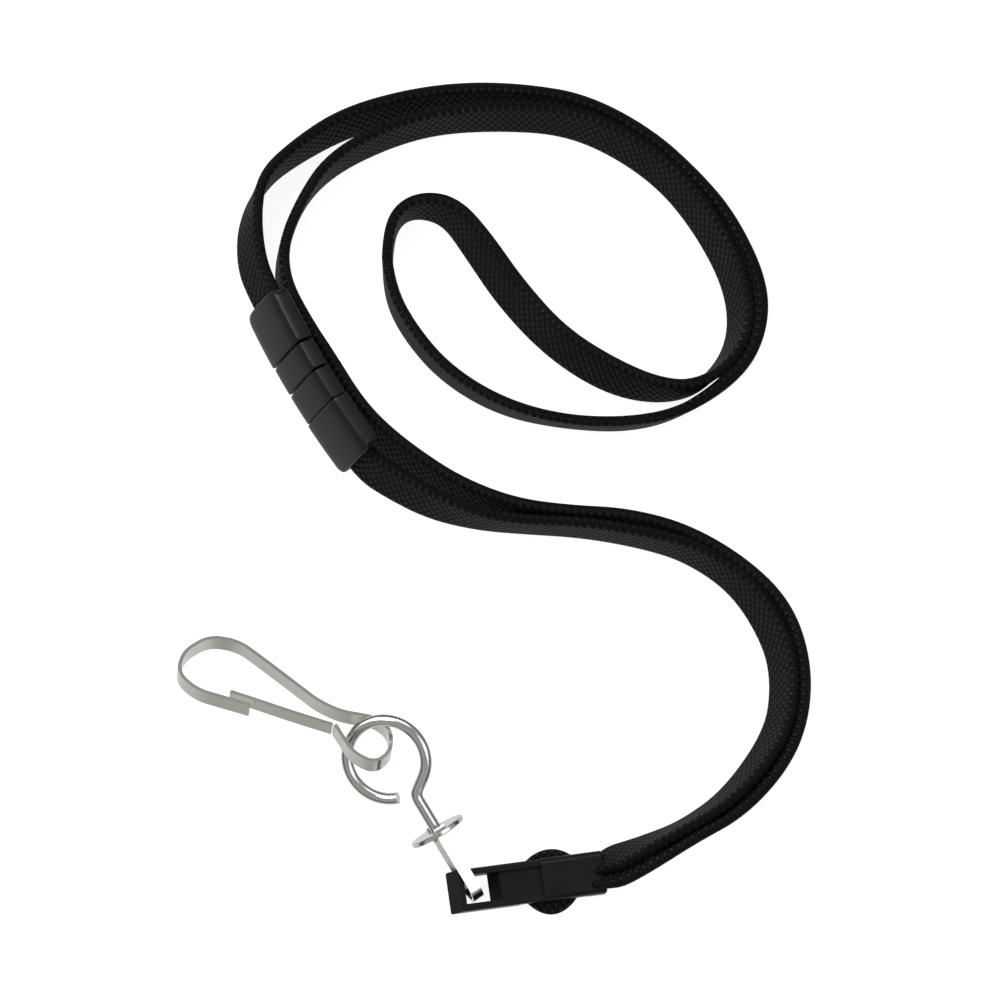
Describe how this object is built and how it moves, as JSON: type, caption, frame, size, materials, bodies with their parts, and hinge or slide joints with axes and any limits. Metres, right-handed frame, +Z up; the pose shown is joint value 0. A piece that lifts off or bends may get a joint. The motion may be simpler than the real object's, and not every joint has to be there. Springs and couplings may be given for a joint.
{
  "type": "breakaway lanyard",
  "caption": "Flat braided neck lanyard with a breakaway clasp, a moulded end fitting and a swivelling spring steel hook.",
  "frame": {"origin": "on the surface the lanyard lies on, under the middle of the hard parts", "axes": "+Z up from the surface, +Y from the hook end towards the neck loop, +X to the right seen from above"},
  "size_m": [0.1163, 0.1562, 0.0157],
  "materials": {
    "braid": "matt woven braid",
    "clasp_plastic": "satin moulding",
    "fitting_plastic": "satin moulding",
    "steel": "bright nickel plate"
  },
  "bodies": {
    "strap_loop": {"strap_front": "braid", "strap_back": "braid", "strap_inner": "braid", "strap_diagonal": "braid", "strap_leg": "braid", "strap_outer": "braid", "strap_turn": "braid", "strap_end_socket": "braid", "clasp_socket_body": "clasp_plastic", "clasp_socket_lid": "clasp_plastic", "fitting_frame": "fitting_plastic", "fitting_sleeve": "fitting_plastic"},
    "clasp_plug": {"clasp_plug_body": "clasp_plastic", "clasp_plug_lid": "clasp_plastic", "strap_end_plug": "braid"},
    "swivel_stirrup": {"stirrup": "steel", "swivel_disc": "steel"},
    "swivel_eye": {"eye_wire": "steel"},
    "hook": {"hook_strip": "steel"},
    "gate": {"hook_gate": "steel"}
  },
  "joints": [
    {"name": "clasp_release", "type": "slide", "parent": "strap_loop", "child": "clasp_plug", "axis": [-0.5135, 0.8581, 0], "range_m": [0, 0.008]},
    {"name": "stirrup_swing", "type": "hinge", "parent": "strap_loop", "child": "swivel_stirrup", "pos_m": [0.01439, -0.05059, 0.00411], "axis": [0.9876, 0.1406, -0.0698], "range_deg": [-15, 6]},
    {"name": "swivel_turn", "type": "hinge", "parent": "swivel_stirrup", "child": "swivel_eye", "pos_m": [0.0086, -0.0431, 0.0063], "axis": [-0.5095, 0.8292, 0.2298], "continuous": true},
    {"name": "hook_swing", "type": "hinge", "parent": "swivel_eye", "child": "hook", "pos_m": [-0.00663, -0.02522, 0.01003], "axis": [0.1075, 0.5223, 0.846], "range_deg": [-14, 20]},
    {"name": "gate_press", "type": "hinge", "parent": "hook", "child": "gate", "pos_m": [-0.01042, -0.02464, 0.01074], "axis": [-0.1075, -0.5223, -0.846], "range_deg": [0, 12], "stiffness_Nm_per_rad": 0.15}
  ]
}
